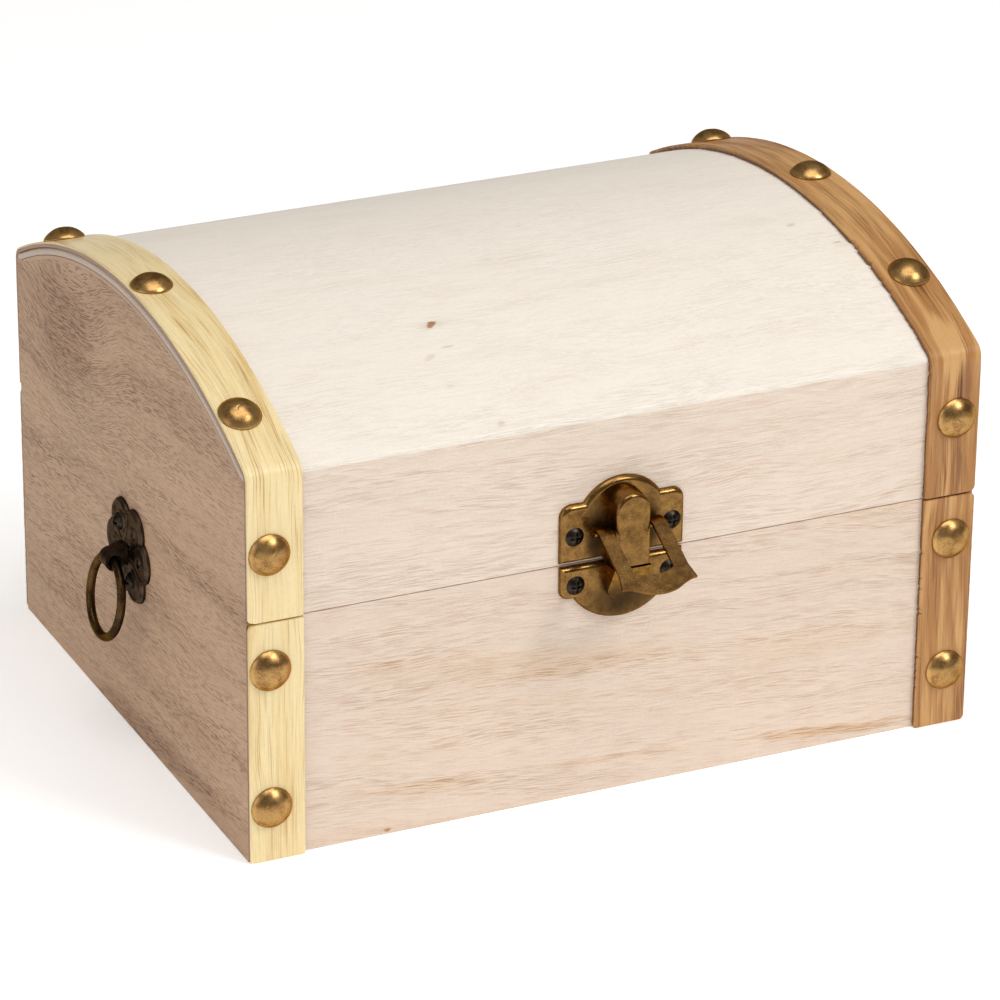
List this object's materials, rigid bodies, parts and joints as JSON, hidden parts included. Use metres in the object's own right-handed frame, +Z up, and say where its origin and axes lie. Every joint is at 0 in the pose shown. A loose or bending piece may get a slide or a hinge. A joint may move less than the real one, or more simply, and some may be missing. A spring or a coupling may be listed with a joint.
{
  "type": "money box",
  "caption": "Small wooden treasure chest with a hinged barrel lid, end bands with domed nails, a swinging front latch and ring handles; used as a money box.",
  "frame": {"origin": "middle of the footprint of the wooden box, on the surface it stands on", "axes": "+X to the right along the front, -Y out of the front, +Z up"},
  "size_m": [0.209, 0.1793, 0.1211],
  "materials": {
    "pale_panel_wood": "bare sanded softwood",
    "ivory_top_wood": "bare sanded thin plywood",
    "taupe_end_wood": "bare sanded board",
    "yellow_band_wood": "bare sanded strip",
    "orange_band_wood": "bare sanded strip",
    "nail_brass": "antiqued, satin",
    "latch_brass": "antiqued, satin",
    "handle_bronze": "dark bronze plating, satin",
    "hinge_brass": "antiqued, satin",
    "screw_steel": "blackened"
  },
  "bodies": {
    "box": {"box_back_panel": "pale_panel_wood", "box_band_back_left": "yellow_band_wood", "box_band_back_right": "orange_band_wood", "box_band_front_left": "yellow_band_wood", "box_band_front_right": "orange_band_wood", "box_band_nails": "nail_brass", "box_bottom_panel": "pale_panel_wood", "box_front_panel": "pale_panel_wood", "box_left_end": "taupe_end_wood", "box_right_end": "taupe_end_wood", "handle_eye_left": "handle_bronze", "handle_eye_right": "handle_bronze", "handle_plate_left": "handle_bronze", "handle_plate_right": "handle_bronze", "handle_screws_left": "screw_steel", "handle_screws_right": "screw_steel", "hinge_box_leaf_left": "hinge_brass", "hinge_box_leaf_right": "hinge_brass", "hinge_box_screws": "screw_steel", "hinge_pin_left": "hinge_brass", "hinge_pin_right": "hinge_brass", "latch_box_plate": "latch_brass", "latch_box_screws": "screw_steel"},
    "lid": {"hinge_lid_leaf_left": "hinge_brass", "hinge_lid_leaf_right": "hinge_brass", "hinge_lid_screws": "screw_steel", "latch_bail_pin": "latch_brass", "latch_lid_plate": "latch_brass", "latch_lid_screws": "screw_steel", "lid_back_panel": "pale_panel_wood", "lid_band_left": "yellow_band_wood", "lid_band_nails": "nail_brass", "lid_band_right": "orange_band_wood", "lid_curved_top": "ivory_top_wood", "lid_front_panel": "pale_panel_wood", "lid_left_end": "taupe_end_wood", "lid_right_end": "taupe_end_wood"},
    "bail": {"latch_bail": "latch_brass"},
    "ring_left": {"handle_ring_left": "handle_bronze"},
    "ring_right": {"handle_ring_right": "handle_bronze"}
  },
  "joints": [
    {"name": "lid_hinge", "type": "hinge", "parent": "box", "child": "lid", "pos_m": [0, 0.0776, 0.0615], "axis": [-1, 0, 0], "range_deg": [0, 163]},
    {"name": "bail_pivot", "type": "hinge", "parent": "lid", "child": "bail", "pos_m": [0, -0.0788, 0.0702], "axis": [-1, 0, 0], "range_deg": [-66, 102]},
    {"name": "ring_left_swing", "type": "hinge", "parent": "box", "child": "ring_left", "pos_m": [-0.1, -0.0015, 0.0477], "axis": [0, 1, 0], "range_deg": [-19, 160]},
    {"name": "ring_right_swing", "type": "hinge", "parent": "box", "child": "ring_right", "pos_m": [0.1, -0.0015, 0.0477], "axis": [0, -1, 0], "range_deg": [-19, 160]}
  ]
}
